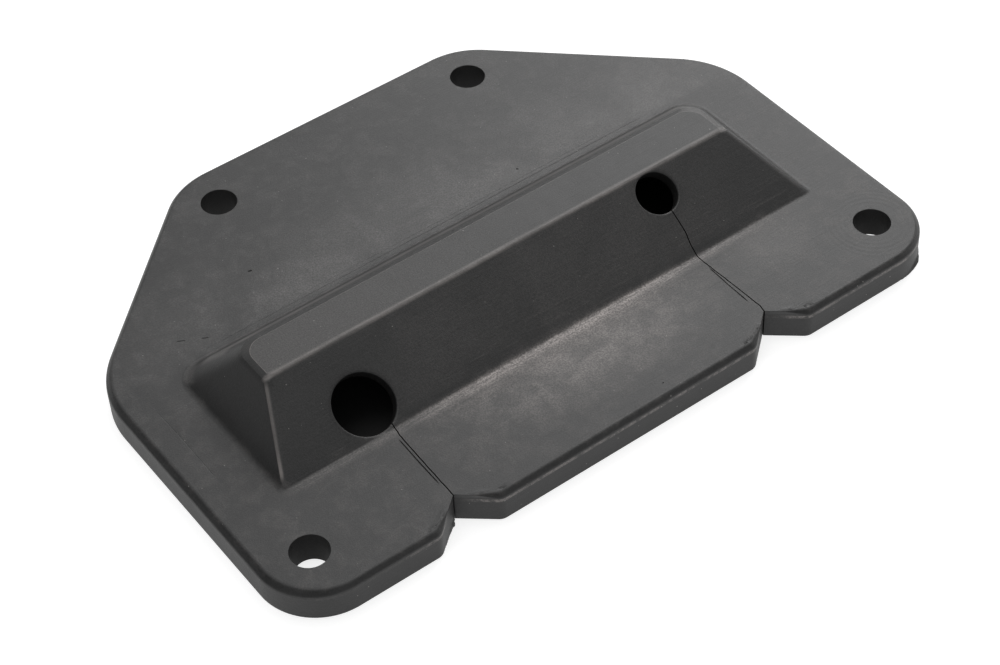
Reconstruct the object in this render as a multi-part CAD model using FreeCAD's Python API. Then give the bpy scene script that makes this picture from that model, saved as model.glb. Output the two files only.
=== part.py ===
import FreeCAD, Part
import math
import os

# Moulded rubber split cable cover: a bolted flange plate with a low hollow hood.
# Two cable holes open through the hood's front slope. A knife slit runs from each hole to a
# notch in the front edge, so the tongue between the slits bends up on a strip of uncut rubber.
# Frame: origin under the middle of the plate, +X along the hood, +Y to the back, +Z up.

# flange plate (mm)
plate_length = 200.0
plate_depth = 140.8
plate_thick = 8.8
side_length = 89.5
back_edge = 91.6
front_corner_r = 16.5
side_corner_r = 27.0
back_corner_r = 21.5
top_chamfer = 1.3

# bolt holes
bolt_hole_d = 10.0
front_bolt_from_side = 12.9
front_bolt_from_edge = 14.3
back_bolt_spacing = 81.4
back_bolt_from_edge = 13.2

# hood, outside
hood_length = 164.6
hood_depth = 48.5
hood_front_margin = 32.9
hood_height = 22.2
front_run = 21.9
rear_run = 13.4
end_run = 11.0
foot_corner_r = 7.0
shoulder_corner_r = 6.0
top_corner_r = 5.0
shoulder_width = 1.6
shoulder_drop = 0.6
front_edge_r = 1.2
foot_fillet_r = 2.0

# hood, inside
wall = 4.0

# cable holes through the front slope
big_cable_d = 16.0
small_cable_d = 11.5
big_cable_x = -53.6
small_cable_x = 44.2
hole_lip = 0.7

# slits, notches and the bending strip
slit_gap = 0.3
big_slit_offset = 2.1
notch_half_width = 8.8
notch_depth = 7.4
strip_width = 3.0
strip_to_hole = 0.5

# derived sizes
half_length = plate_length / 2
y_front = -plate_depth / 2
y_back = plate_depth / 2
rise = hood_height - plate_thick
slope_length = math.hypot(front_run, rise)
slope_cos = front_run / slope_length
slope_sin = rise / slope_length
foot_y = y_front + hood_front_margin
big_r = big_cable_d / 2
small_r = small_cable_d / 2
big_up = big_r + hole_lip
small_up = slope_length - small_r - hole_lip
hinge_up = small_up - small_r - strip_to_hole - strip_width / 2
left_slit_x = big_cable_x + big_slit_offset
right_slit_x = small_cable_x
margin = 1.0
far = plate_length

up_slope = FreeCAD.Vector(0, slope_cos, slope_sin)
out_of_slope = FreeCAD.Vector(0, -slope_sin, slope_cos)


def on_slope(x, up, out):
    """Point at a distance up the front slope from its foot, and out of the slope."""
    foot = FreeCAD.Vector(x, foot_y, plate_thick)
    return foot + up_slope * up + out_of_slope * out


def rounded_loop(points, radii, z):
    """Edges of a closed loop through the corner points, each corner rounded to its radius."""
    count = len(points)
    starts = []
    ends = []
    mids = []
    for i in range(count):
        corner = FreeCAD.Vector(points[i][0], points[i][1], z)
        before = FreeCAD.Vector(points[i - 1][0], points[i - 1][1], z)
        after = FreeCAD.Vector(points[(i + 1) % count][0], points[(i + 1) % count][1], z)
        to_before = (before - corner).normalize()
        to_after = (after - corner).normalize()
        half_angle = to_before.getAngle(to_after) / 2
        reach = radii[i] / math.tan(half_angle)
        bisector = (to_before + to_after).normalize()
        centre = corner + bisector * (radii[i] / math.sin(half_angle))
        starts.append(corner + to_before * reach)
        ends.append(corner + to_after * reach)
        mids.append(centre - bisector * radii[i])
    edges = []
    for i in range(count):
        if radii[i] > 0:
            edges.append(Part.Arc(starts[i], mids[i], ends[i]).toShape())
        edges.append(Part.LineSegment(ends[i], starts[(i + 1) % count]).toShape())
    return edges


def frustum(lower, upper):
    """Solid between two level loops: flat faces between lines, ruled faces between arcs."""
    faces = [Part.Face(Part.Wire(lower)), Part.Face(Part.Wire(upper))]
    for low, high in zip(lower, upper):
        if low.Curve.TypeId == "Part::GeomLine":
            a, b = [v.Point for v in low.Vertexes]
            d, c = [v.Point for v in high.Vertexes]
            faces.append(Part.Face(Part.makePolygon([a, b, c, d, a])))
        else:
            faces.append(Part.makeRuledSurface(low, high))
    return Part.makeSolid(Part.Shell(faces))


def plate_solid():
    corners = [
        (-half_length, y_front),
        (half_length, y_front),
        (half_length, y_front + side_length),
        (back_edge / 2, y_back),
        (-back_edge / 2, y_back),
        (-half_length, y_front + side_length),
    ]
    radii = [front_corner_r, front_corner_r, side_corner_r, back_corner_r, back_corner_r, side_corner_r]
    face = Part.Face(Part.Wire(rounded_loop(corners, radii, 0)))
    slab = face.extrude(FreeCAD.Vector(0, 0, plate_thick))
    top_edges = [e for e in slab.Edges if e.BoundBox.ZMin > plate_thick - margin / 2]
    return slab.makeChamfer(top_chamfer, top_edges)


def hood_loop(z, inset, corner_r, thickness):
    """Outline of the hood at a height, drawn in by a shoulder inset or by the wall thickness."""
    t = (z - plate_thick) / rise
    end_sin = rise / math.hypot(end_run, rise)
    rear_sin = rise / math.hypot(rear_run, rise)
    x = hood_length / 2 - end_run * t - inset - thickness / end_sin
    y0 = foot_y + front_run * t + thickness / slope_sin
    y1 = foot_y + hood_depth - rear_run * t - inset - thickness / rear_sin
    return rounded_loop([(-x, y0), (x, y0), (x, y1), (-x, y1)], [0, 0, corner_r, corner_r], z)


def hood_solid():
    shoulder_z = hood_height - shoulder_drop
    shoulder_t = shoulder_drop / rise
    top_inset = shoulder_width - end_run * shoulder_t
    foot = hood_loop(plate_thick - margin, 0, foot_corner_r, 0)
    shoulder = hood_loop(shoulder_z, 0, shoulder_corner_r, 0)
    top = hood_loop(hood_height, top_inset, top_corner_r, 0)
    return frustum(foot, shoulder).fuse(frustum(shoulder, top)).removeSplitter()


def cavity_solid():
    ceiling = hood_height - wall
    return frustum(hood_loop(-margin, 0, foot_corner_r, wall), hood_loop(ceiling, 0, shoulder_corner_r, wall))


def bore(x, up, radius):
    """Cylinder along the front slope's normal."""
    length = 3 * wall
    return Part.makeCylinder(radius, length + margin, on_slope(x, up, margin), out_of_slope * -1)


def below_line(x0, x1, up_from, up_to):
    """Block between two distances up the front slope, reaching through the wall and the plate."""
    corners = [
        on_slope(x0, up_from, far),
        on_slope(x0, up_to, far),
        on_slope(x0, up_to, -far),
        on_slope(x0, up_from, -far),
    ]
    face = Part.Face(Part.makePolygon(corners + [corners[0]]))
    return face.extrude(FreeCAD.Vector(x1 - x0, 0, 0))


def notch(x):
    reach = notch_half_width * 2
    run = notch_depth * 2
    tip = FreeCAD.Vector(x, y_front + notch_depth, -margin)
    left = FreeCAD.Vector(x - reach, y_front + notch_depth - run, -margin)
    right = FreeCAD.Vector(x + reach, y_front + notch_depth - run, -margin)
    face = Part.Face(Part.makePolygon([tip, right, left, tip]))
    return face.extrude(FreeCAD.Vector(0, 0, hood_height))


def is_front_top_edge(edge):
    box = edge.BoundBox
    level = box.ZMax - box.ZMin < margin / 10
    high = box.ZMin > hood_height - margin / 10
    return level and high and box.YMax < foot_y + front_run + margin / 10


def is_foot_edge(edge):
    box = edge.BoundBox
    level = abs(box.ZMax - plate_thick) < margin / 10 and abs(box.ZMin - plate_thick) < margin / 10
    inside_x = box.XMax < hood_length / 2 + margin and box.XMin > -hood_length / 2 - margin
    inside_y = box.YMin > foot_y - margin and box.YMax < foot_y + hood_depth + margin
    return level and inside_x and inside_y


# whole moulding before the knife work
hood = hood_solid()
hood = hood.makeFillet(front_edge_r, [e for e in hood.Edges if is_front_top_edge(e)])
moulding = plate_solid().fuse(hood).removeSplitter()
moulding = moulding.makeFillet(foot_fillet_r, [e for e in moulding.Edges if is_foot_edge(e)])
moulding = moulding.cut(cavity_solid())

for side in (-1, 1):
    front_spot = FreeCAD.Vector(side * (half_length - front_bolt_from_side), y_front + front_bolt_from_edge, -margin)
    back_spot = FreeCAD.Vector(side * back_bolt_spacing / 2, y_back - back_bolt_from_edge, -margin)
    for spot in (front_spot, back_spot):
        moulding = moulding.cut(Part.makeCylinder(bolt_hole_d / 2, plate_thick + 2 * margin, spot))

moulding = moulding.cut(bore(big_cable_x, big_up, big_r))
moulding = moulding.cut(bore(small_cable_x, small_up, small_r))
moulding = moulding.cut(notch(left_slit_x))
moulding = moulding.cut(notch(right_slit_x))

# knife work: the slits free the flap, and the bending strip joins it to the hood
half_gap = slit_gap / 2
half_strip = strip_width / 2
flap_x0 = left_slit_x + half_gap
flap_x1 = right_slit_x - half_gap
flap_block = below_line(flap_x0, flap_x1, -far, hinge_up - half_strip)
strip_block = below_line(flap_x0, flap_x1, hinge_up - half_strip, hinge_up + half_strip)
cleared = below_line(left_slit_x - half_gap, right_slit_x + half_gap, -far, hinge_up + half_strip)
slit_end = below_line(right_slit_x - half_gap, right_slit_x + half_gap, hinge_up, small_up)

nodes = {
    "cover_body": moulding.cut(cleared).cut(slit_end),
    "cable_flap": moulding.common(flap_block),
    "flap_hinge_web": moulding.common(strip_block),
}

os.makedirs("parts", exist_ok=True)
for name, shape in nodes.items():
    shape = shape.removeSplitter()
    print(name, len(shape.Solids), shape.isValid(), round(shape.Volume, 1), shape.BoundBox)
    shape.exportStep("parts/" + name + ".step")
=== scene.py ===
import math

import bmesh
import bpy
import numpy as np
from mathutils import Matrix, Vector, noise
from mathutils.geometry import delaunay_2d_cdt


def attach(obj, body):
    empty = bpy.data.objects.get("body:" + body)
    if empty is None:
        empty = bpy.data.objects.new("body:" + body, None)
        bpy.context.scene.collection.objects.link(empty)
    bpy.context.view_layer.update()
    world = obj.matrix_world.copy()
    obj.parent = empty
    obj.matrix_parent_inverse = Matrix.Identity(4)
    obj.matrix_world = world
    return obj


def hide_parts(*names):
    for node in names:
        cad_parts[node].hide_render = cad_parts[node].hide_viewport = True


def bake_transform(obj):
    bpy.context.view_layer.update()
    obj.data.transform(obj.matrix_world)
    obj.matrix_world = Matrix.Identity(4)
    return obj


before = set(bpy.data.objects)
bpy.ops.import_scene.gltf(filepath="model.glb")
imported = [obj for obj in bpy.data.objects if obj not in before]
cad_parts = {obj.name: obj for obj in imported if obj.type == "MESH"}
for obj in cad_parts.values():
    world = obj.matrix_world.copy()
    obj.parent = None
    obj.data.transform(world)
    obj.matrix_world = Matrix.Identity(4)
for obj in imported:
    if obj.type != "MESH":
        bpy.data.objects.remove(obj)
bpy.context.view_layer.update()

# A split cable entry cover in moulded rubber: a flange plate with four bolt holes, a hollow hood
# with two cable holes through its front slope, and a slit flap that lifts. The cover is one closed
# mesh, which knife cuts then part into cover_moulding and lifting_flap. Shapes are worked out in
# millimetres, with the plate's middle at x = y = 0, its underside at z = 0 and its front at -y.
MM = 0.001

# the same sizes as the CAD source
LENGTH, DEPTH = 200.0, 140.8
T = 8.8  # thickness of the plate
SIDE, BACK = 89.5, 91.6  # lengths of the side and back edges
R_FRONT, R_SIDE, R_BACK = 16.5, 27.0, 21.5
CHAMFER = 1.3
Y0, Y1 = -DEPTH / 2, DEPTH / 2
HOOD_HALF, HOOD_DEPTH = 82.3, 48.5
FOOT_Y = Y0 + 32.9  # where the front slope starts
H = 22.2  # of the hood's top
RISE = H - T
RUN_F, RUN_R, RUN_E = 21.9, 13.4, 11.0  # level lengths of the front, rear and end slopes
WALL = 4.0
SLOPE = math.hypot(RUN_F, RISE)  # length of the front slope
COS, SIN = RUN_F / SLOPE, RISE / SLOPE
BIG_X, BIG_R = -53.6, 8.0
SMALL_X, SMALL_R = 44.2, 5.75
LIP = 0.7  # between a cable hole's rim and the near edge of the slope
BIG_UP = BIG_R + LIP  # how far up the front slope each cable hole lies
SMALL_UP = SLOPE - SMALL_R - LIP
STRIP = 3.0  # width of the uncut strip that the flap bends on
HINGE_UP = SMALL_UP - SMALL_R - 0.5 - STRIP / 2
WEB_TOP = HINGE_UP + STRIP / 2
NOTCH_W, NOTCH_D = 8.8, 7.4
NOTCH_X = (-51.5, 44.2)
GAP = 0.3  # width of a slit

# details that only the visible shape has
CHAMFER_CUT = CHAMFER - 0.18  # with its edges rounded, it looks as wide as the CAD's
LEFT_WEAR = 0.30  # how much wider the chamfer is along the left side
NOTCH_CORNER_R, NOTCH_ROOT_R = 3.2, 0.12
BOLT_TAPER = 0.22
SHOULDER_H, SHOULDER_W = 0.6, 1.6  # the low step round the ends and back of the hood's top
BOLTS = [  # x, y and the radius of the rim
    (-87.1, Y0 + 14.3, 4.88),
    (87.1, Y0 + 14.3, 4.88),
    (-40.7, Y1 - 13.2, 4.84),
    (40.7, Y1 - 13.2, 4.84),
]


def fade(t):
    """0 to 1 with soft ends."""
    t = min(1.0, max(0.0, t))
    return t * t * (3 - 2 * t)


def on_slope(x, up, out=0.0):
    """The place this far up the front slope and out of its surface."""
    return Vector((x, FOOT_Y + up * COS - out * SIN, T + up * SIN + out * COS))


# ---------------------------------------------------------------- 2D paths
def arc_samples(a, b, c, r, n):
    """n + 1 points rounding corner b of a path a, b, c with radius r; even if it runs straight."""
    a, b, c = Vector(a), Vector(b), Vector(c)
    u, v = (a - b).normalized(), (c - b).normalized()
    half = u.angle(v) / 2
    if half > math.radians(88.5):
        reach = min(0.25, r)
        return [b + u * reach * (1 - i / n) + v * reach * (i / n) for i in range(n + 1)]
    reach = r / math.tan(half)
    centre = b + (u + v).normalized() * (r / math.sin(half))
    p, q = b + u * reach - centre, b + v * reach - centre
    turn = p.angle(q)
    s = math.sin(turn)
    return [
        centre + p * (math.sin((1 - i / n) * turn) / s) + q * (math.sin(i / n * turn) / s)
        for i in range(n + 1)
    ]


def open_path(points, radii, counts):
    """Samples of an open path with rounded corners; the same counts give as many samples."""
    out = [Vector(points[0])]
    for i in range(1, len(points) - 1):
        out += arc_samples(points[i - 1], points[i], points[i + 1], radii[i], counts[i])
    out.append(Vector(points[-1]))
    return out


def closed_path(points, radii, step):
    """Dense samples of a closed path with rounded corners, as (point, inward normal)."""
    n = len(points)
    arcs = []
    for i in range(n):
        a, b, c = points[i - 1], points[i], points[(i + 1) % n]
        turn = math.pi - (Vector(a) - Vector(b)).angle(Vector(c) - Vector(b))
        count = math.ceil(max(radii[i] * turn / (step * 0.6), turn / 0.16))
        arcs.append(arc_samples(a, b, c, radii[i], max(3, int(count))))
    dense = []
    for i in range(n):
        dense += arcs[i]
        p, q = arcs[i][-1], arcs[(i + 1) % n][0]
        k = int((q - p).length // step)
        dense += [p.lerp(q, j / (k + 1)) for j in range(1, k + 1)]
    pts = []
    for p in dense:
        if not pts or (p - pts[-1]).length > 1e-4:
            pts.append(p)
    if (pts[0] - pts[-1]).length < 1e-4:
        pts.pop()
    samples = []
    for i, p in enumerate(pts):
        d = (pts[(i + 1) % len(pts)] - p).normalized() + (p - pts[i - 1]).normalized()
        d.normalize()
        samples.append((p, Vector((-d.y, d.x))))
    return samples


# ---------------------------------------------------------------- the whole moulding, uncut
def new_object(bm, name):
    """Turns a finished bmesh into an object in the scene."""
    mesh = bpy.data.meshes.new(name)
    bm.to_mesh(mesh)
    bm.free()
    ob = bpy.data.objects.new(name, mesh)
    bpy.context.scene.collection.objects.link(ob)
    return ob


class Solid:
    """Collects the faces of one closed solid, welded at the end."""

    def __init__(self):
        self.bm = bmesh.new()

    def rings(self, rings, flip=False):
        """A skin over closed rings of as many points each."""
        rows = [[self.bm.verts.new(p) for p in ring] for ring in rings]
        n = len(rows[0])
        for a, b in zip(rows, rows[1:]):
            for i in range(n):
                j = (i + 1) % n
                f = [a[i], a[j], b[j], b[i]]
                self.bm.faces.new(f[::-1] if flip else f)

    def cap(self, ring, flip=False):
        vs = [self.bm.verts.new(p) for p in ring]
        self.bm.faces.new(vs[::-1] if flip else vs)

    def flat(self, loops, height, extra=(), lines=(), flip=False):
        """A level face inside loops[0] and outside the others, with extra points and folds."""
        co, edges, faces = [], [], []
        for loop in loops:
            k = len(co)
            co += [Vector((p[0], p[1])) for p in loop]
            faces.append(list(range(k, k + len(loop))))
        loop_points = len(co)
        for line in lines:
            k = len(co)
            co += [Vector(p) for p in line]
            edges += [(k + i, k + i + 1) for i in range(len(line) - 1)]
        co += [Vector(p) for p in extra]
        points, _, triangles, came_from, _, inside = delaunay_2d_cdt(
            co, edges, faces, 0, 1e-5, True
        )
        places = [
            (p.x, p.y, height(p.x, p.y, any(i < loop_points for i in origin)))
            for p, origin in zip(points, came_from)
        ]
        made = {}
        for triangle, origin in zip(triangles, inside):
            if list(origin) != [0]:
                continue
            vs = []
            for i in triangle:
                if i not in made:
                    made[i] = self.bm.verts.new(places[i])
                vs.append(made[i])
            self.bm.faces.new(vs[::-1] if flip else vs)

    def finish(self, name):
        bmesh.ops.remove_doubles(self.bm, verts=self.bm.verts, dist=2e-4)
        bmesh.ops.dissolve_degenerate(self.bm, edges=self.bm.edges, dist=1e-5)
        bmesh.ops.recalc_face_normals(self.bm, faces=self.bm.faces)
        return new_object(self.bm, name)


def outline():
    """The plate's outline from the left front corner on, with the two notches."""
    points, radii = [(-LENGTH / 2, Y0)], [R_FRONT]
    for x in NOTCH_X:
        points += [(x - NOTCH_W, Y0), (x, Y0 + NOTCH_D), (x + NOTCH_W, Y0)]
        radii += [NOTCH_CORNER_R, NOTCH_ROOT_R, NOTCH_CORNER_R]
    points += [(LENGTH / 2, Y0), (LENGTH / 2, Y0 + SIDE), (BACK / 2, Y1)]
    points += [(-BACK / 2, Y1), (-LENGTH / 2, Y0 + SIDE)]
    radii += [R_FRONT, R_SIDE, R_BACK, R_BACK, R_SIDE]
    return closed_path(points, radii, 1.6)


def chamfer_scale(p):
    """The chamfer is worn wider on the left side and runs out along the walls of the notches."""
    scale = 1.0 + LEFT_WEAR * fade((-84.0 - p.x) / 12.0) * fade((34.0 - p.y) / 22.0)
    for x in NOTCH_X:
        d = abs(p.x - x)
        if d < NOTCH_W + 2 and p.y < 0:
            scale = min(scale, 0.07 + 0.93 * fade((d - 3.4) / 5.4))
    return scale


def rim_rings():
    """The plate's edge from the underside to the top face."""
    cut = CHAMFER_CUT
    profile = open_path(
        [(1.2, 0.0), (0.0, 0.0), (0.0, T - cut), (cut, T), (cut + 1.3, T)],
        [0, 0.3, 0.9, 1.3, 0],
        [0, 4, 4, 5, 0],
    )[1:-1]
    edge = outline()
    rings = []
    for q in profile:
        ring = []
        for p, n in edge:
            inset, z = q.x, q.y
            if z > T / 2:
                z = T - (T - z) * chamfer_scale(p)
                inset *= chamfer_scale(p)
            ring.append(Vector((p.x + n.x * inset, p.y + n.y * inset, z)))
        rings.append(ring)
    return rings


def side_path(run, shoulder, top_r, foot_r):
    """The hood's side in section, as (distance in from the foot, height)."""
    turn_in = run * (1 - SHOULDER_H / RISE)
    top = turn_in + SHOULDER_W if shoulder else run
    angle = math.atan2(RISE, run)
    path = open_path(
        [
            (-foot_r * math.tan(angle / 2) - 1.0, T),
            (0, T),
            (turn_in, H - SHOULDER_H),
            (top, H),
            (top + 2.4, H),
        ],
        [0, foot_r, 0.45 if shoulder else 0.3, top_r, 0],
        [0, 6, 3, 5, 0],
    )[1:]
    return path[:-1] + [path[-2].lerp(path[-1], 0.12), path[-1]]


def box_loop(x, y0, y1, heights, radii, counts):
    """A rounded rectangle whose front, ends and rear may sit at different heights.

    heights are for the front, the ends and the rear, radii for the front and rear corners, and
    counts for points along the front, along an end and round a corner.
    """
    front, end, rear = heights
    r_front, r_rear = radii
    nx, ny, nc = counts
    out = []

    def corner(cx, cy, r, a0, z0, z1):
        for i in range(nc + 1):
            t = i / nc
            a = a0 + math.pi / 2 * t
            z = z0 + (z1 - z0) * fade(t)
            out.append(Vector((cx + r * math.cos(a), cy + r * math.sin(a), z)))

    def straight(p, q, n):
        p, q = Vector(p), Vector(q)
        out.extend(p.lerp(q, i / n) for i in range(1, n))

    corner(-x + r_front, y0 + r_front, r_front, math.pi, end, front)
    straight((-x + r_front, y0, front), (x - r_front, y0, front), nx)
    corner(x - r_front, y0 + r_front, r_front, -math.pi / 2, front, end)
    straight((x, y0 + r_front, end), (x, y1 - r_rear, end), ny)
    corner(x - r_rear, y1 - r_rear, r_rear, 0, end, rear)
    straight((x - r_rear, y1, rear), (-x + r_rear, y1, rear), nx)
    corner(-x + r_rear, y1 - r_rear, r_rear, math.pi / 2, rear, end)
    straight((-x, y1 - r_rear, end), (-x, y0 + r_front, end), ny)
    return out


def stacked(front, end, rear, radii, counts):
    """Loops up the hood: three sections that run together, and corner radii for each loop."""
    rings = []
    for f, e, r in zip(front, end, rear):
        y0, y1 = FOOT_Y + f.x, FOOT_Y + HOOD_DEPTH - r.x
        rings.append(box_loop(HOOD_HALF - e.x, y0, y1, (f.y, e.y, r.y), radii(r, y1 - y0), counts))
    return rings


def hood_rings():
    def radii(r, _):
        return 1.5, 7.0 - 2.0 * (r.y - T) / RISE + max(0.0, -r.x)

    front = side_path(RUN_F, False, 1.5, 1.6)
    end = side_path(RUN_E, True, 0.9, 2.6)
    rear = side_path(RUN_R, True, 0.9, 2.6)
    return stacked(front, end, rear, radii, (80, 24, 9))


def cavity_rings():
    """The hollow under the hood, a wall's thickness inside it."""
    ceiling = H - WALL

    def section(run):
        off = WALL / math.sin(math.atan2(RISE, run))
        a = (run * (0.0 - T) / RISE + off, 0.0)
        b = (run * (ceiling - T) / RISE + off, ceiling)
        corners = [(a[0] - 1.5, 0.0), a, b, (b[0] + 1.6, ceiling)]
        return open_path(corners, [0, 0.6, 2.0, 0], [0, 4, 5, 0])[1:]

    def radii(_, depth):
        return min(2.2, 0.2 * depth), min(6.0, 0.4 * depth)

    return stacked(section(RUN_F), section(RUN_E), section(RUN_R), radii, (60, 20, 7))


def bolt_rings(cx, cy, r, n=56):
    path = open_path(
        [(r + 1.5, T), (r, T), (r - BOLT_TAPER, 0), (r + 1.5, 0)],
        [0, 0.12, 0.1, 0],
        [0, 3, 3, 0],
    )[1:-1]
    turns = [2 * math.pi * i / n for i in range(n)]
    return [
        [Vector((cx + q.x * math.cos(a), cy + q.x * math.sin(a), q.y)) for a in turns]
        for q in path
    ]


# lines and nicks in the top face: their route, spacing of points, width and depth
MARKS = [
    ([(-51.5, -40.6), (-51.9, -50.0), (-52.1, -58.6)], 1.5, 0.34, 0.22),  # beside the left slit
    ([(43.7, -42.0), (43.45, -50.0), (43.4, -58.4)], 1.5, 0.34, 0.20),  # beside the right slit
    ([(-92.3, -27.0), (-92.1, -8.0), (-92.4, 7.0)], 3.0, 0.26, 0.07),  # mould line, left end
    ([(-74.0, 13.5), (-20.0, 13.3), (72.0, 13.5)], 4.0, 0.24, 0.07),  # mould lines, behind the hood
    ([(-46.0, 14.7), (10.0, 14.5), (58.0, 14.8)], 4.0, 0.22, 0.05),
    ([(-76.2, 20.3), (-74.3, 19.1)], 0.3, 0.34, 0.16),  # scratches and nicks
    ([(-70.8, 17.3), (-69.1, 16.3)], 0.3, 0.30, 0.14),
    ([(-48.9, 30.2), (-47.7, 29.8)], 0.3, 0.55, 0.30),
    ([(28.0, 18.2), (28.7, 17.6)], 0.3, 0.45, 0.28),
    ([(8.9, -66.1), (9.5, -66.1)], 0.3, 0.50, 0.30),
]


def densify(points, step):
    out = [Vector(points[0])]
    for a, b in zip(points, points[1:]):
        a, b = Vector(a), Vector(b)
        k = max(1, int((b - a).length / step))
        out += [a.lerp(b, i / k) for i in range(1, k + 1)]
    return out


def marks():
    """The fold lines of every groove, and its deepest points as (x, y, depth)."""
    folds, floors = [], []
    for route, spacing, width, depth in MARKS:
        mid = densify(route, spacing)
        last = len(mid) - 1
        lines = [[], [], []]
        for i, p in enumerate(mid):
            d = (mid[min(i + 1, last)] - mid[max(i - 1, 0)]).normalized()
            n = Vector((-d.y, d.x)) * width / 2
            inner = 0 < i < last
            taper = 1.0 if inner else 0.05
            lines[0].append(p + n * taper)
            lines[1].append(p)
            lines[2].append(p - n * taper)
            floors.append((p.x, p.y, depth if inner else 0.0))
        folds += lines
    return folds, floors


def dimple(x, y):
    """Shallow dents left by the mould where the chamfer runs out at the notches."""
    z = 0.0
    for nx in NOTCH_X:
        for side in (1, -1):
            u, v = (x - nx) * side, y - Y0
            if not (1.0 < u < 14.0 and v < 9):
                continue
            line = 1.55 + 1.9 * fade((8.6 - u) / 5.0)
            dent = math.exp(-(((v - line) / 0.62) ** 2))
            lump = math.exp(-(((v - line - 1.35) / 0.5) ** 2))
            dent = dent * fade((u - 2.6) / 2.2) * fade((12.5 - u) / 3.5)
            lump = lump * fade((u - 2.2) / 1.8) * fade((8.5 - u) / 3.0)
            z = z - 0.55 * dent + 0.10 * lump
    return z


def jitter_grid(step, keep, seed):
    """A loose grid of points over the plate, where keep allows them."""
    rng = np.random.default_rng(seed)
    points = []
    for iy, y in enumerate(np.arange(Y0, Y1, step * 0.87)):
        for x in np.arange(-LENGTH / 2, LENGTH / 2, step):
            px = x + (iy % 2) * step / 2 + rng.uniform(-0.1, 0.1) * step
            py = y + rng.uniform(-0.1, 0.1) * step
            if keep(px, py):
                points.append((px, py))
    return points


def away(points, others, distance):
    """The points that are farther than distance from all the others."""
    p = np.array(points)
    q = np.array([(v[0], v[1]) for v in others])
    ok = np.ones(len(p), bool)
    for i in range(0, len(p), 2000):
        ok[i:i + 2000] = np.sqrt(((p[i:i + 2000, None] - q[None]) ** 2).sum(-1)).min(1) > distance
    return [tuple(v) for v in p[ok]]


def at_notch(x, y):
    """Where the dimples need a fine mesh."""
    return y < Y0 + 8 and min(abs(abs(x - nx) - 8) for nx in NOTCH_X) < 6.5


def build_moulding():
    solid = Solid()
    rim, hood, cavity = rim_rings(), hood_rings(), cavity_rings()
    bolts = [bolt_rings(*bolt) for bolt in BOLTS]
    solid.rings(rim)
    solid.rings(hood)
    solid.cap(hood[-1])
    solid.rings(cavity, flip=True)
    solid.cap(cavity[-1], flip=True)
    for rings in bolts:
        solid.rings(rings)

    folds, floors = marks()

    def top_z(x, y, on_loop):
        if on_loop:
            return T
        for gx, gy, depth in floors:
            if abs(gx - x) < 1e-3 and abs(gy - y) < 1e-3:
                return T - depth
        return T + dimple(x, y)

    loops = [rim[-1], hood[0]] + [rings[0] for rings in bolts]
    near = [p for loop in loops for p in loop] + [p for fold in folds for p in fold]
    coarse = away(jitter_grid(4.0, lambda x, y: True, 3), near, 1.8)
    fine = away(jitter_grid(0.42, at_notch, 4), near, 0.3)
    solid.flat(loops, top_z, [p for p in coarse if not at_notch(*p)] + fine, folds)
    underside = [rim[0], cavity[0]] + [rings[-1] for rings in bolts]
    solid.flat(underside, lambda x, y, on_loop: 0.0, flip=True)
    return solid.finish("moulding")


# ---------------------------------------------------------------- cuts and flash
# where a knife cut runs: (distance in front of the hood's foot, negative, or up its slope; x)
LEFT_CUT = [
    (-40, -51.55), (-25.9, -51.55), (-25.3, -51.5), (-15, -51.15),
    (-4.5, -50.7), (0, -50.45), (0.9, -50.2), (30, -50.2),
]
RIGHT_CUT = [
    (-40, 44.22), (-25.9, 44.22), (-23.4, 44.75), (-12.5, 44.4), (-3.8, 44.0),
    (0, 44.0), (4.2, 44.4), (6.9, 45.0), (13.5, 45.05), (30, 45.05),
]
# where the knife tools have their sections, up to the top of the strip that bends
CUT_ROWS = [
    -40, -30, -26.2, -25.5, -24.5, -23.4, -22, -20.5, -19, -17.5, -16, -14.5, -13, -11.5, -10,
    -8.5, -7, -5.5, -4.5, -3.5, -2.6, 1.0, 2.0, 3.0, 4.2, 5.5, 6.9, 8.2, 9.6, WEB_TOP,
]


def cut_x(cut, phase, u):
    """Middle of a knife cut at u, with the slight waver of a blade."""
    x = float(np.interp(u, [p[0] for p in cut], [p[1] for p in cut]))
    waver = 0.035 * math.sin(u * 1.3 + phase) + 0.02 * math.sin(u * 3.1)
    return x + (waver if -25 < u < 13 else 0.0)


def left_x(u):
    return cut_x(LEFT_CUT, 0.0, u)


def right_x(u):
    return cut_x(RIGHT_CUT, 1.3, u)


def prism(name, rows):
    """A closed solid through rings of as many points each."""
    bm = bmesh.new()
    rows = [[bm.verts.new(p) for p in row] for row in rows]
    n = len(rows[0])
    for a, b in zip(rows, rows[1:]):
        for i in range(n):
            j = (i + 1) % n
            bm.faces.new((a[i], a[j], b[j], b[i]))
    bm.faces.new(rows[0][::-1])
    bm.faces.new(rows[-1])
    bmesh.ops.recalc_face_normals(bm, faces=bm.faces)
    return new_object(bm, name)


def cutter(name, us, left, right):
    """A tool through the plate and the front slope's wall, from x = left(u) to x = right(u)."""
    rows = []
    for u in us:
        if u < 0:
            (ty, tz), (by, bz) = (FOOT_Y + u, T + 3.0), (FOOT_Y + u, -3.0)
        else:
            _, ty, tz = on_slope(0, u, 3.0)
            _, by, bz = on_slope(0, u, -14.0 + 0.25 * u)
        l, r = left(u), right(u)
        rows.append([(l, ty, tz), (r, ty, tz), (r, by, bz), (l, by, bz)])
    return prism(name, rows)


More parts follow.
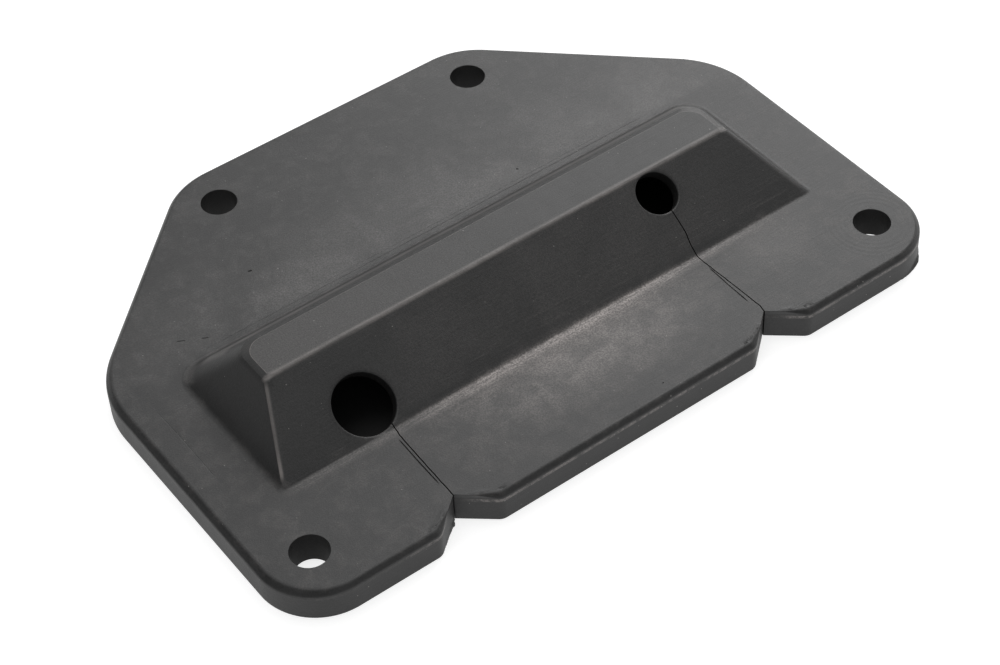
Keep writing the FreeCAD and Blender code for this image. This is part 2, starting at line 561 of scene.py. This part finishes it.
def bore_tool(name, x, up, r, n=96):
    """A turned tool that cuts a cable hole and rounds its rim, square to the front slope."""
    wall = open_path(
        [(r + 3.0, 0.0), (r, 0.0), (r, -WALL), (r + 0.6, -WALL - 0.001)],
        [0, 0.5, 0.3, 0],
        [0, 5, 3, 0],
    )[2:-1]
    profile = [(r + 0.62, 1.5), (r + 0.62, 0.06), (r + 0.5, 0.0)]
    profile += [(p.x, p.y) for p in wall] + [(r + 0.3, -WALL - 4.0)]
    centre = on_slope(x, up)
    ex, ey, ez = Vector((1, 0, 0)), Vector((0, COS, SIN)), Vector((0, -SIN, COS))
    turns = [2 * math.pi * i / n for i in range(n)]
    return prism(name, [
        [centre + ez * out + (ex * math.cos(a) + ey * math.sin(a)) * radius for a in turns]
        for radius, out in profile
    ])


def boolean(ob, other, operation):
    mod = ob.modifiers.new("cut", "BOOLEAN")
    mod.object = other
    mod.operation = operation
    mod.solver = "EXACT"
    graph = bpy.context.evaluated_depsgraph_get()
    mesh = bpy.data.meshes.new_from_object(ob.evaluated_get(graph))
    ob.modifiers.clear()
    old = ob.data
    ob.data = mesh
    bpy.data.meshes.remove(old)


def drop(ob):
    mesh = ob.data
    bpy.data.objects.remove(ob)
    bpy.data.meshes.remove(mesh)


def flash(name, points, widths, height):
    """A thin ragged lip of spilt rubber at a wall's foot; the points run along the wall."""
    rows = []
    for i, (p, w) in enumerate(zip(points, widths)):
        d = (points[min(i + 1, len(points) - 1)] - points[max(i - 1, 0)]).normalized()
        out = Vector((d.y, -d.x))
        w = max(w, 0.02)
        q, e = p - out * 0.8, p + out * w
        tip, top, foot = height * (0.35 + 0.5 * min(w, 1.0)), height * 1.5, 0.02
        rows.append([
            (q.x, q.y, foot), (e.x, e.y, foot), (e.x, e.y, tip), (p.x, p.y, top), (q.x, q.y, top)
        ])
    return prism(name, rows)


def ragged(t, seed):
    slow = noise.noise(Vector((t * 1.1, seed, 0)))
    quick = noise.noise(Vector((t * 3.7, seed, 4)))
    return 0.5 + slow * 0.9 + quick * 0.3


def corner_flash():
    """Around the right front corner, where the parting line leaked."""
    centre = Vector((LENGTH / 2 - R_FRONT, Y0 + R_FRONT))
    points, widths = [], []
    for i in range(70):
        t = i / 69
        a = math.radians(-84 + 80 * i / 69)
        points.append(centre + Vector((math.cos(a), math.sin(a))) * R_FRONT)
        # it must stay inside the plate's rectangle
        room = R_FRONT * (1 / max(abs(math.cos(a)), abs(math.sin(a))) - 1) - 0.03
        width = 0.75 * fade(t / 0.2) * fade((1 - t) / 0.15) * max(0.4, ragged(i * 0.06, 2.0))
        widths.append(max(0.0, min(width, room)))
    return flash("corner_flash", points, widths, 0.45)


def notch_flash():
    """Crumbs of rubber left on the cut wall of the left notch."""
    a = Vector((NOTCH_X[0] - NOTCH_W + 2.5, Y0 + 2.1))
    b = Vector((NOTCH_X[0] - 0.25, Y0 + NOTCH_D - 0.25))
    points = [a.lerp(b, i / 40) for i in range(41)]
    widths = [
        0.55 * fade((i / 40 - 0.25) / 0.5) * max(0.1, ragged(i * 0.13, 7.0)) for i in range(41)
    ]
    return flash("notch_flash", points, widths, 0.8)


def part_moulding():
    """The moulding with its holes, parted along the knife cuts into the cover and the flap."""
    cover = build_moulding()
    for lip in (corner_flash(), notch_flash()):
        boolean(cover, lip, "UNION")
        drop(lip)
    for name, x, up, r in (("big", BIG_X, BIG_UP, BIG_R), ("small", SMALL_X, SMALL_UP, SMALL_R)):
        tool = bore_tool(name, x, up, r)
        boolean(cover, tool, "DIFFERENCE")
        drop(tool)

    tongue = cover.copy()
    tongue.data = cover.data.copy()
    bpy.context.scene.collection.objects.link(tongue)
    g = GAP / 2
    tool = cutter("flap_block", CUT_ROWS, lambda u: left_x(u) + g, lambda u: right_x(u) - g)
    boolean(tongue, tool, "INTERSECT")
    drop(tool)
    tool = cutter("cleared", CUT_ROWS, lambda u: left_x(u) - g, lambda u: right_x(u) + g)
    boolean(cover, tool, "DIFFERENCE")
    drop(tool)
    # the right cut runs on past the strip, up to the small hole
    end = [WEB_TOP - 0.8, WEB_TOP + 0.3, SMALL_UP]
    tool = cutter("slit_end", end, lambda u: right_x(u) - g, lambda u: right_x(u) + g)
    boolean(cover, tool, "DIFFERENCE")
    boolean(tongue, tool, "DIFFERENCE")
    drop(tool)
    return cover, tongue


def in_bore(c):
    """Whether a face lies on the wall of a cable hole or a bolt hole."""
    for bx, by, r in BOLTS:
        if math.hypot(c.x - bx, c.y - by) < r + 0.03 and 0.1 < c.z < T - 0.4:
            return True
    for hx, up, r in ((BIG_X, BIG_UP, BIG_R), (SMALL_X, SMALL_UP, SMALL_R)):
        d = c - on_slope(hx, up)
        v, w = d.y * COS + d.z * SIN, -d.y * SIN + d.z * COS
        if math.hypot(d.x, v) < r + 0.2 and w < -0.3:
            return True
    return False


def in_hollow(c):
    """Whether a face lies on the inside of the hood."""
    up = (c.z - T) / RISE
    margin = (
        (c.y - FOOT_Y - RUN_F * up) * SIN,
        (FOOT_Y + HOOD_DEPTH - RUN_R * up - c.y) * 0.7,
        (HOOD_HALF - RUN_E * up - abs(c.x)) * 0.77,
        H - c.z,
    )
    return 0.2 < c.z and min(margin) > WALL - 0.4


def finish_mesh(ob, name, on_cover, bend_rows=()):
    """Cleans the mesh, adds rows where it bends, scales it to metres and smooths its normals."""
    bm = bmesh.new()
    bm.from_mesh(ob.data)
    bmesh.ops.remove_doubles(bm, verts=bm.verts, dist=1e-4)
    up_slope = Vector((0, COS, SIN))
    for up in bend_rows:
        every = bm.verts[:] + bm.edges[:] + bm.faces[:]
        bmesh.ops.bisect_plane(bm, geom=every, plane_co=on_slope(0, up), plane_no=up_slope)
    bmesh.ops.triangulate(bm, faces=[f for f in bm.faces if len(f.verts) > 4])
    bm.transform(Matrix.Scale(MM, 4))
    bm.to_mesh(ob.data)
    bm.free()
    ob.name = name
    ob.data.name = name
    faces = ob.data.polygons
    # the rubber's worn edges and painted highlights and shade on the hood belong to the cover only
    fixed = ob.data.attributes.new("fixed", "FLOAT", "FACE")
    fixed.data.foreach_set("value", [on_cover] * len(faces))
    faces.foreach_set("use_smooth", [True] * len(faces))
    ob.data.set_sharp_from_angle(angle=math.radians(33))
    mod = ob.modifiers.new("normals", "WEIGHTED_NORMAL")
    mod.keep_sharp = True
    mod.weight = 100
    mod.mode = "FACE_AREA"


# ---------------------------------------------------------------- material
class Nodes:
    """Short names for the shader nodes that the rubber is made of."""

    def __init__(self, tree):
        self.tree = tree

    def put(self, socket, value):
        if isinstance(value, bpy.types.NodeSocket):
            self.tree.links.new(value, socket)
        elif value is not None:
            socket.default_value = value

    def node(self, kind, **settings):
        n = self.tree.nodes.new(kind)
        for key, value in settings.items():
            setattr(n, key, value)
        return n

    def math(self, op, a, b=None, clamp=False):
        n = self.node("ShaderNodeMath", operation=op, use_clamp=clamp)
        self.put(n.inputs[0], a)
        self.put(n.inputs[1], b)
        return n.outputs[0]

    def step(self, value, low, high, out_low=0.0, out_high=1.0):
        """Goes softly from out_low to out_high as the value goes from low to high."""
        n = self.node("ShaderNodeMapRange", interpolation_type="SMOOTHSTEP")
        for i, v in enumerate((value, low, high, out_low, out_high)):
            self.put(n.inputs[i], v)
        return n.outputs[0]

    def below(self, value, low, high, rest=0.0):
        """1 below low, softly down to rest above high."""
        return self.step(value, low, high, 1.0, rest)

    def product(self, *values):
        out = values[0]
        for v in values[1:]:
            out = self.math("MULTIPLY", out, v)
        return out

    def total(self, *values):
        out = values[0]
        for v in values[1:]:
            out = self.math("ADD", out, v)
        return out

    def length(self, a, b):
        return self.math("SQRT", self.total(self.product(a, a), self.product(b, b)))

    def oval(self, x, y, centre, half):
        """1 on an ellipse round the centre, less inside it."""
        dx = self.math("DIVIDE", self.math("SUBTRACT", x, centre[0]), half[0])
        dy = self.math("DIVIDE", self.math("SUBTRACT", y, centre[1]), half[1])
        return self.length(dx, dy)

    def vector(self, op, a, b, output="Vector"):
        n = self.node("ShaderNodeVectorMath", operation=op)
        self.put(n.inputs[0], a)
        self.put(n.inputs["Scale" if op == "SCALE" else 1], b)
        return n.outputs[output]

    def axes(self, vec):
        n = self.node("ShaderNodeSeparateXYZ")
        self.put(n.inputs[0], vec)
        return n.outputs

    def turned(self, vec, angle, scale):
        n = self.node("ShaderNodeMapping")
        self.put(n.inputs["Vector"], vec)
        n.inputs["Rotation"].default_value = (0, 0, math.radians(angle))
        n.inputs["Scale"].default_value = scale
        return n.outputs[0]

    def noise(self, vec, scale, detail, rough=0.55, warp=0.0):
        n = self.node("ShaderNodeTexNoise")
        self.put(n.inputs["Vector"], vec)
        n.inputs["Scale"].default_value = scale
        n.inputs["Detail"].default_value = detail
        n.inputs["Roughness"].default_value = rough
        n.inputs["Distortion"].default_value = warp
        return n.outputs[0]

    def specks(self, vec, scale, size, share):
        """Small round spots: one cell in a few has one."""
        n = self.node("ShaderNodeTexVoronoi")
        self.put(n.inputs["Vector"], vec)
        n.inputs["Scale"].default_value = scale
        colour = self.node("ShaderNodeSeparateColor")
        self.put(colour.inputs[0], n.outputs["Color"])
        chosen = self.math("LESS_THAN", colour.outputs[0], share)
        radius = self.math("MULTIPLY", colour.outputs[1], size)
        return self.product(chosen, self.math("LESS_THAN", n.outputs["Distance"], radius))

    def mix(self, factor, a, b):
        n = self.node("ShaderNodeMix", data_type="RGBA")
        for i, v in zip((0, 6, 7), (factor, a, b)):
            self.put(n.inputs[i], v)
        return n.outputs[2]

    def bump(self, height, strength):
        n = self.node("ShaderNodeBump")
        n.inputs["Strength"].default_value = strength
        n.inputs["Distance"].default_value = 0.0001
        self.put(n.inputs["Height"], height)
        return n.outputs[0]


class Skin:
    """Where a point of the rubber lies in millimetres, how it faces, and what noise lies on it."""

    def __init__(self, k):
        self.p = p = k.vector("SCALE", k.node("ShaderNodeTexCoord").outputs["Object"], 1000.0)
        self.x, self.y, self.z = k.axes(p)
        self.nx, self.ny, self.nz = k.axes(k.node("ShaderNodeNewGeometry").outputs["Normal"])
        self.fixed = k.node("ShaderNodeAttribute", attribute_name="fixed").outputs["Fac"]
        self.clouds = k.noise(p, 0.045, 4, 0.6, 0.6)
        self.mottle = k.noise(p, 0.19, 5, 0.62, 0.3)
        self.grain = k.noise(p, 2.3, 3, 0.6)
        self.along = k.noise(k.turned(p, 0, (0.05, 1.4, 1.4)), 1.0, 4, 0.6)
        self.across = k.noise(k.turned(p, 62, (0.06, 1.6, 1.0)), 1.0, 4, 0.65)
        # the plate's level top, its walls, the hood above the plate, and the hood's front slope
        self.level = k.product(
            k.step(self.z, T - 0.9, T - 0.1), k.below(self.z, T + 0.4, T + 1.6)
        )
        self.walls = k.product(k.below(self.nz, 0.15, 0.4), k.below(self.z, T - 1.2, T - 0.8))
        self.hood = k.product(k.step(self.z, T + 0.9, T + 2.2), self.fixed)
        self.slope = k.product(
            k.step(self.z, T + 0.6, T + 2.0),
            k.step(self.ny, -0.2, -0.4),
            k.step(self.nz, 0.6, 0.75),
        )


def polish_and_highlights(k, s):
    """Pale on the hood's edges: partly rubbed wear, mostly painted highlights on the hips,
    shoulder, lip, rear slope, ridge and right end.
    """
    tilt = k.math("ABSOLUTE", s.nx)
    not_front = k.step(s.ny, -0.06, -0.01)
    # painted highlights: pale lines on the rounded edges, picked by the way the surface faces
    hips = k.product(
        s.hood,
        k.step(tilt, 0.06, 0.22),
        k.below(tilt, 0.58, 0.74),
        k.step(s.ny, -0.08, -0.22),
        k.below(s.x, -69.0, -66.0),
        k.below(s.z, H - 1.6, H - 0.4, 0.15),
    )
    shoulder = k.product(
        s.hood, k.step(s.nz, 0.958, 0.975), k.below(s.nz, 0.992, 0.999), not_front
    )
    lip = k.product(
        s.hood,
        k.step(s.nz, 0.978, 0.990),
        k.below(s.nz, 0.9975, 0.9995),
        not_front,
        k.below(s.x, 55.0, 72.0, 0.4),
    )
    rear = k.product(
        s.hood,
        k.step(s.ny, 0.45, 0.62),
        k.step(s.z, T + 2.0, T + 3.5),
        k.below(s.z, T + 7.5, T + 9.5),
    )
    far_end = k.product(
        s.hood,
        k.step(s.x, 60.0, 70.0),
        k.step(s.nz, 0.80, 0.90),
        k.below(s.nz, 0.985, 0.998),
        k.step(s.nx, 0.04, 0.12),
    )
    # painted highlight along the front top edge, broken up like wear
    off_ridge = k.length(
        k.math("SUBTRACT", s.y, FOOT_Y + RUN_F + 0.2), k.math("SUBTRACT", s.z, H - 0.1)
    )
    ridge = k.product(k.below(off_ridge, 0.35, 1.15), k.step(s.along, 0.3, 0.6, 0.5, 1.0))
    all_of_it = k.total(
        k.product(hips, k.step(s.z, T + 5.0, T + 2.0, 0.070, 0.13)),
        k.product(shoulder, 0.018),
        k.product(lip, 0.085),
        k.product(rear, 0.07),
        k.product(ridge, 0.085),
        k.product(far_end, 0.018),
    )
    return k.product(all_of_it, k.step(s.mottle, 0.3, 0.7, 0.75, 1.2))


def scuffs(k, s):
    """The dusty streaks along the foot of the front slope, strongest on the flap."""
    off_axis = k.math("ABSOLUTE", s.x)
    foot = k.product(
        k.step(s.y, FOOT_Y - 9.0, FOOT_Y - 0.4),
        k.below(s.y, FOOT_Y + 0.1, FOOT_Y + 1.0),
        k.below(off_axis, 70.0, 80.0),
    )
    span = k.product(k.step(s.x, -54.0, -20.0, 0.05, 1.0), k.below(s.x, 18.0, 48.0, 0.2))
    streak = k.product(foot, span, k.step(s.along, 0.36, 0.62, 0.45, 1.0))
    broken = k.noise(k.turned(s.p, 0, (0.16, 2.2, 2.0)), 1.0, 5, 0.7)
    edge_line = k.product(
        k.step(s.y, FOOT_Y - 3.4, FOOT_Y - 0.9),
        k.below(s.y, FOOT_Y - 0.3, FOOT_Y + 0.5),
        k.step(s.x, -50.0, -30.0, 0.35, 1.0),
        k.below(s.x, 30.0, 75.0, 0.15),
        k.below(off_axis, 76.0, 83.0),
        k.step(broken, 0.36, 0.62, 0.2, 1.0),
    )
    tongue = k.product(
        k.step(s.y, Y0 + 4.0, FOOT_Y - 6.0),
        k.below(s.y, FOOT_Y, FOOT_Y + 0.8),
        span,
        k.step(s.mottle, 0.36, 0.60),
    )
    return streak, edge_line, tongue


def dust_and_highlights(k, s, streak, edge_line, tongue):
    """Everything pale on the rubber: dusty marks, with painted highlights on the right wing and
    along the front wall below the chamfer.
    """
    middle = k.oval(s.x, s.y, (3.0, FOOT_Y - 10.0), (42.0, 16.0))
    rubbed = k.product(
        k.below(middle, 0.1, 1.1), s.level, k.step(s.mottle, 0.30, 0.62, 0.65, 1.0)
    )
    # painted highlight: a pale patch on the plate's right wing
    wing_highlight = k.product(k.below(k.oval(s.x, s.y, (62.0, -46.0), (16.0, 11.0)), 0.2, 1.1), s.level)
    behind = k.product(
        k.step(s.y, 11.0, 15.0),
        k.below(s.y, 20.0, 46.0),
        k.step(s.clouds, 0.36, 0.64, 0.3, 1.0),
        k.step(s.x, -78.0, -38.0, 0.35, 1.0),
        s.level,
    )
    # painted highlight: a pale line along the front wall just below the chamfer
    below_chamfer = k.math("ABSOLUTE", k.math("SUBTRACT", s.z, T - 1.9))
    left_corner = k.oval(s.x, s.y, (-90.0, -62.0), (26.0, 16.0))
    wall_highlight = k.product(
        k.below(below_chamfer, 0.3, 0.65),
        k.below(s.y, Y0 + 2.5, Y0 + 6.0, 0.15),
        k.step(k.noise(s.p, 0.5, 4, 0.7), 0.36, 0.62, 0.15, 1.0),
        k.step(left_corner, 0.8, 1.3, 0.12, 1.0),
    )
    strip = k.product(s.hood, k.step(s.nz, 0.995, 0.999), k.below(s.x, -70.0, 50.0))
    heel = k.product(
        s.fixed,
        k.step(s.ny, 0.08, 0.2),
        k.below(s.ny, 0.5, 0.66),
        k.step(s.z, T + 2.4, T + 1.2),
        k.step(s.z, T + 0.01, T + 0.05),
    )
    drag = k.product(
        s.slope,
        k.step(s.z, T + 6.5, T + 1.5),
        k.step(s.across, 0.56, 0.68),
        k.step(s.x, -40.0, 0.0, 0.3, 1.0),
    )
    haze = k.product(
        s.slope,
        k.step(s.clouds, 0.30, 0.65, 0.3, 1.0),
        k.step(s.x, -60.0, -25.0, 0.2, 1.0),
        k.below(s.x, 45.0, 70.0, 0.3),
    )
    all_of_it = k.total(
        k.product(streak, 0.085),
        k.product(edge_line, 0.150),
        k.product(tongue, s.level, 0.022),
        k.product(rubbed, 0.075),
        k.product(wing_highlight, 0.022),
        k.product(behind, 0.034),
        k.product(wall_highlight, 0.095),
        k.product(strip, 0.020),
        k.product(heel, 0.030),
        k.product(k.step(s.mottle, 0.42, 0.70), s.level, 0.018),
        k.product(drag, 0.022),
        k.product(haze, 0.012),
    )
    return k.product(all_of_it, k.step(s.grain, 0.30, 0.70, 0.5, 1.55))


def black_and_shade(k, s):
    """The black under the pale layer, with painted shade on the walls, the left-facing chamfer, the
    left crease and round the cable holes.
    """
    to_big = k.vector("DISTANCE", s.p, on_slope(BIG_X, BIG_UP), "Value")
    to_small = k.vector("DISTANCE", s.p, on_slope(SMALL_X, SMALL_UP), "Value")
    to_hole = k.math(
        "MINIMUM", k.math("SUBTRACT", to_big, BIG_R), k.math("SUBTRACT", to_small, SMALL_R)
    )
    rim_shade = k.product(s.slope, k.below(to_hole, 0.3, 1.6))
    bevel = k.product(
        k.step(s.z, T - 2.6, T - 2.0),
        k.step(s.z, T - 0.04, T - 0.2),
        k.step(s.nx, -0.15, -0.4),
        k.step(s.nz, 0.3, 0.5),
        k.below(s.nz, 0.93, 0.98),
    )
    crease = k.product(
        s.hood, k.step(s.x, -69.8, -70.8), k.step(s.z, H - 1.8, H - 1.0), k.step(s.nz, 0.95, 0.90)
    )
    # painted shade: the rubber made blacker where it lies in shade
    painted_shade = k.total(
        k.product(s.walls, 0.0065),
        k.product(rim_shade, 0.006),
        k.product(bevel, 0.0095),
        k.product(crease, 0.0095),
    )
    return k.total(
        k.math("SUBTRACT", 0.0115, painted_shade),
        k.product(k.step(s.clouds, 0.3, 0.7), 0.003),
        k.step(s.grain, 0.30, 0.72, 0.0, 0.0075),
    )


def relief(k, s):
    """Fine height of the skin, with the faint rings round the right front bolt hole."""
    bx, by, _ = BOLTS[1]
    off = k.vector("DISTANCE", s.p, (bx, by, T), "Value")
    rings = k.product(
        k.math("SINE", k.math("MULTIPLY", off, 4.2)),
        k.step(off, 5.5, 8.0),
        k.below(off, 11.0, 15.0),
        s.level,
    )
    return k.total(
        k.product(s.grain, 0.5),
        k.product(k.noise(s.p, 5.5, 2, 0.5), 0.35),
        k.product(s.across, 0.5),
        k.product(s.along, 0.45),
        k.product(rings, 0.1),
        k.product(s.mottle, 0.8),
    )


def new_material(name):
    mat = bpy.data.materials.new(name)
    mat.use_nodes = True
    return mat, Nodes(mat.node_tree), mat.node_tree.nodes["Principled BSDF"]


def rubber_material():
    mat, k, bsdf = new_material("black_rubber")
    s = Skin(k)
    streak, edge_line, tongue = scuffs(k, s)
    pale = k.total(dust_and_highlights(k, s, streak, edge_line, tongue), polish_and_highlights(k, s))
    black = black_and_shade(k, s)
    # the dusty marks and painted highlights are half as warm behind the hood as in front
    colour = k.node("ShaderNodeCombineColor")
    for socket, tint in zip(colour.inputs, (1.0, 0.905, 0.86)):
        warmth = k.step(s.y, -8.0, 10.0, tint, 0.5 + 0.5 * tint)
        k.put(socket, k.math("ADD", black, k.product(pale, warmth)))
    shifted = k.vector("ADD", s.p, (31.0, 17.0, 5.0))
    spots = k.math(
        "ADD", k.specks(s.p, 0.30, 0.06, 0.6), k.specks(shifted, 0.62, 0.10, 0.35), clamp=True
    )
    share = k.product(spots, k.step(s.mottle, 0.35, 0.65, 0.06, 0.34))
    k.put(bsdf.inputs["Base Color"], k.mix(share, colour.outputs[0], (0.55, 0.53, 0.50, 1)))
    k.put(bsdf.inputs["Roughness"], k.total(
        0.40,
        k.product(s.mottle, 0.08),
        k.product(s.grain, 0.06),
        k.product(streak, 0.12),
        k.product(s.walls, 0.10),
    ))
    bsdf.inputs["Specular IOR Level"].default_value = 0.5
    bsdf.inputs["IOR"].default_value = 1.5
    k.put(bsdf.inputs["Normal"], k.bump(relief(k, s), 0.7))
    return mat


def shaded_material():
    """A shaded copy of the rubber with less sheen: painted shade inside the hood and the holes."""
    mat, k, bsdf = new_material("black_rubber_painted_shade")
    p = k.vector("SCALE", k.node("ShaderNodeTexCoord").outputs["Object"], 1000.0)
    mottle = k.noise(p, 0.19, 5, 0.62, 0.3)
    grain = k.noise(p, 2.3, 3, 0.6)
    drawn = k.noise(k.turned(p, 0, (1.2, 1.2, 0.08)), 1.0, 4, 0.6)
    low, high = (0.006, 0.006, 0.006, 1), (0.016, 0.0155, 0.015, 1)
    k.put(bsdf.inputs["Base Color"], k.mix(k.math("MULTIPLY", mottle, grain), low, high))
    k.put(bsdf.inputs["Roughness"], k.total(0.56, k.product(mottle, 0.15)))
    bsdf.inputs["Specular IOR Level"].default_value = 0.24
    k.put(bsdf.inputs["Normal"], k.bump(k.total(grain, drawn), 0.6))
    return mat


# ---------------------------------------------------------------- the two pieces
moulding, flap = part_moulding()
finish_mesh(moulding, "cover_moulding", 1.0)
finish_mesh(flap, "lifting_flap", 0.0, [WEB_TOP - STRIP * i / 8 for i in range(1, 9)])
rubber, shaded = rubber_material(), shaded_material()
for ob in (moulding, flap):
    ob.data.materials.clear()
    ob.data.materials.append(rubber)
    ob.data.materials.append(shaded)
    # faces inside the hood and the holes take the shaded copy: painted shade
    centres = [f.center / MM for f in ob.data.polygons]
    painted_shade_faces = [int(in_hollow(c) or in_bore(c)) for c in centres]
    ob.data.polygons.foreach_set("material_index", painted_shade_faces)

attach(moulding, "cover")
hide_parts("cover_body")
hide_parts("cable_flap", "flap_hinge_web")
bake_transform(flap)


# ---------------------------------------------------------------- stage, light and camera
WORLD = 0.83  # strength of the white world
FLOOR_GLOW = 0.76  # and of the table's own light
# dim parts of the studio: direction, light kept there, degrees of full effect and of none
SHADED = [
    ((-0.78, 0.57, 0.25), 0.12, 12, 48),
    ((0.395, -0.378, 0.836), 0.55, 10, 40),
    ((0.395, -0.75, 0.53), 0.25, 8, 36),
    ((-0.5, -0.5, 0.7), 0.35, 10, 40),
    ((0.4, 0.9, 0.12), 0.2, 8, 24),
]
# soft boxes that face the part: name, place in metres, size and radiance
LIGHTS = [
    ("back_box", (0.90, 0.72, 0.80), (0.9, 0.9), 3.4),
    ("top_box", (0.0, 0.15, 1.5), (0.9, 0.7), 1.6),
]
# the photo's view, in degrees and metres, with the lens and its sensor in millimetres
CAMERA_AZIMUTH, CAMERA_ELEVATION, CAMERA_ROLL = -34.65, 45.89, -2.96
CAMERA_DISTANCE = 0.5971
CAMERA_LENS, SENSOR = 84.834, 36
CAMERA_TARGET = (-0.00663, 0.04969 + Y0 * MM, 0)


def sheet(name, half_x, y0, y1, z, grey, glow=0.0):
    """A level rectangle of the stage. Seen from underneath, it lets the part's underside show."""
    mat, k, bsdf = new_material(name)
    bsdf.inputs["Base Color"].default_value = (grey, grey, grey, 1)
    bsdf.inputs["Roughness"].default_value = 0.9
    bsdf.inputs["Specular IOR Level"].default_value = 0.2
    bsdf.inputs["Emission Color"].default_value = (1, 1, 1, 1)
    bsdf.inputs["Emission Strength"].default_value = glow
    shader = k.node("ShaderNodeMixShader")
    k.put(shader.inputs[0], k.node("ShaderNodeNewGeometry").outputs["Backfacing"])
    k.put(shader.inputs[1], bsdf.outputs[0])
    k.put(shader.inputs[2], k.node("ShaderNodeBsdfTransparent").outputs[0])
    k.put(mat.node_tree.nodes["Material Output"].inputs["Surface"], shader.outputs[0])
    mesh = bpy.data.meshes.new(name)
    corners = [(-half_x, y0, z), (half_x, y0, z), (half_x, y1, z), (-half_x, y1, z)]
    mesh.from_pydata(corners, [], [(0, 1, 2, 3)])
    mesh.materials.append(mat)
    ob = bpy.data.objects.new(name, mesh)
    bpy.context.scene.collection.objects.link(ob)


def studio_air():
    """An even white world, dimmed in a few directions."""
    world = bpy.context.scene.world or bpy.data.worlds.new("world")
    bpy.context.scene.world = world
    world.use_nodes = True
    background = world.node_tree.nodes["Background"]
    background.inputs[0].default_value = (1, 1, 1, 1)
    k = Nodes(world.node_tree)
    seen = k.node("ShaderNodeTexCoord").outputs["Generated"]
    level = WORLD
    for way, keep, narrow, wide in SHADED:
        near = k.vector(
            "DOT_PRODUCT", k.vector("NORMALIZE", seen, None), Vector(way).normalized(), "Value"
        )
        outer, inner = math.cos(math.radians(wide)), math.cos(math.radians(narrow))
        level = k.math("MULTIPLY", k.step(near, outer, inner, 1.0, keep), level)
    k.put(background.inputs[1], level)


def soft_boxes():
    for name, place, size, radiance in LIGHTS:
        light = bpy.data.lights.new(name, "AREA")
        light.shape = "RECTANGLE"
        light.size, light.size_y = size
        light.energy = radiance * math.pi * size[0] * size[1]
        ob = bpy.data.objects.new(name, light)
        bpy.context.scene.collection.objects.link(ob)
        ob.location = place
        ob.rotation_euler = (-Vector(place)).to_track_quat("-Z", "Y").to_euler()


def camera():
    az, el = math.radians(CAMERA_AZIMUTH), math.radians(CAMERA_ELEVATION)
    roll = math.radians(CAMERA_ROLL)
    back = Vector((math.sin(az) * math.cos(el), -math.cos(az) * math.cos(el), math.sin(el)))
    level_right = (-back).cross(Vector((0, 0, 1))).normalized()
    level_up = level_right.cross(-back)
    right = level_right * math.cos(roll) + level_up * math.sin(roll)
    up = level_up * math.cos(roll) - level_right * math.sin(roll)
    pose = Matrix((right, up, back)).transposed().to_4x4()
    pose.translation = Vector(CAMERA_TARGET) + back * CAMERA_DISTANCE
    cam = bpy.data.objects.new("camera", bpy.data.cameras.new("camera"))
    bpy.context.scene.collection.objects.link(cam)
    cam.matrix_world = pose
    cam.data.sensor_width = SENSOR
    cam.data.lens = CAMERA_LENS
    cam.data.clip_start = 0.01
    cam.data.clip_end = 20
    bpy.context.scene.camera = cam


bpy.context.scene.view_settings.view_transform = "Standard"
sheet("floor", 4.0, -4.0, 4.0, -0.00002, 0.5, FLOOR_GLOW)
# a dark card under the hood's hollow is painted shade that keeps the cable holes black
sheet(
    "painted_shade_card",
    (HOOD_HALF + 2.0 - WALL) * MM,
    (FOOT_Y - 5.0) * MM,
    (FOOT_Y + HOOD_DEPTH + 1.0) * MM,
    0.00004,
    0.025,
)
studio_air()
soft_boxes()
camera()
